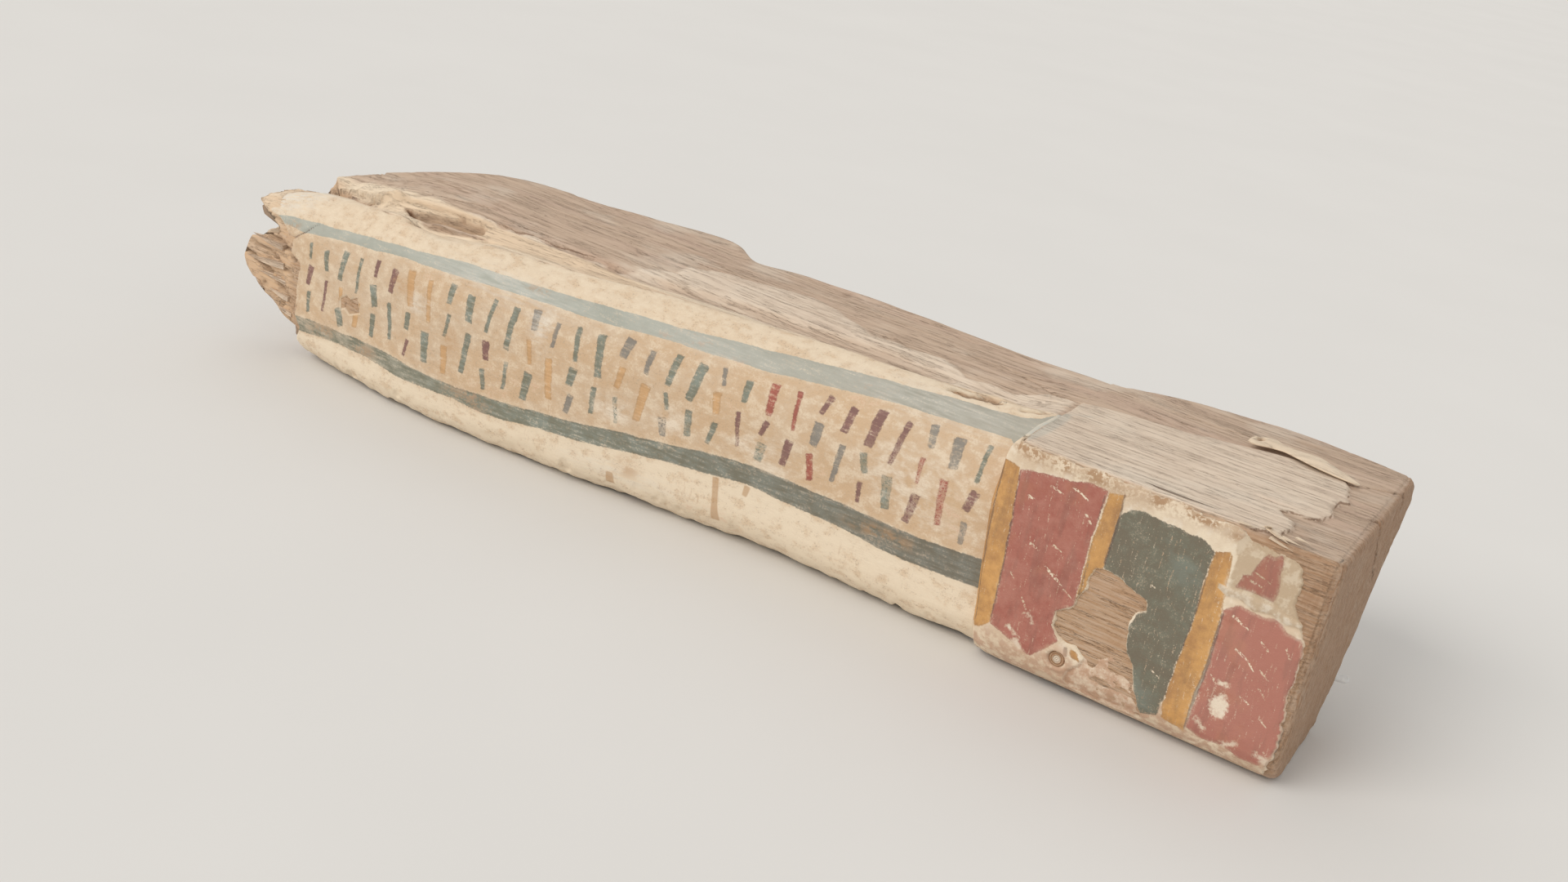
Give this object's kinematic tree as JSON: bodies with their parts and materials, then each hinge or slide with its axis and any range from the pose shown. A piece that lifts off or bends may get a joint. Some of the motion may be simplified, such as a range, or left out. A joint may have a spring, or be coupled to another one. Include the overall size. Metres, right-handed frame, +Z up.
{
  "type": "painted wooden coffin fragment",
  "caption": "Broken timber from the side of a painted wooden coffin: rounded plastered body, squared foot block, sloping back, splintered end.",
  "frame": {"origin": "middle of the underside of the whole part's box", "axes": "+X along the timber to the end of the squared block, -Y out of the painted front, +Z up out of the flat bare top"},
  "size_m": [0.7936, 0.2018, 0.142],
  "materials": {
    "painted_plaster_wood": "dry bare wood under flaking cream plaster, with matt red, ochre and blue-green paint",
    "dowel_wood": "dry dark end grain",
    "white_peg": "smooth white, slightly glossy"
  },
  "bodies": {
    "root": {"coffin_timber": "painted_plaster_wood", "dowel": "dowel_wood", "support_peg": "white_peg"}
  },
  "joints": []
}
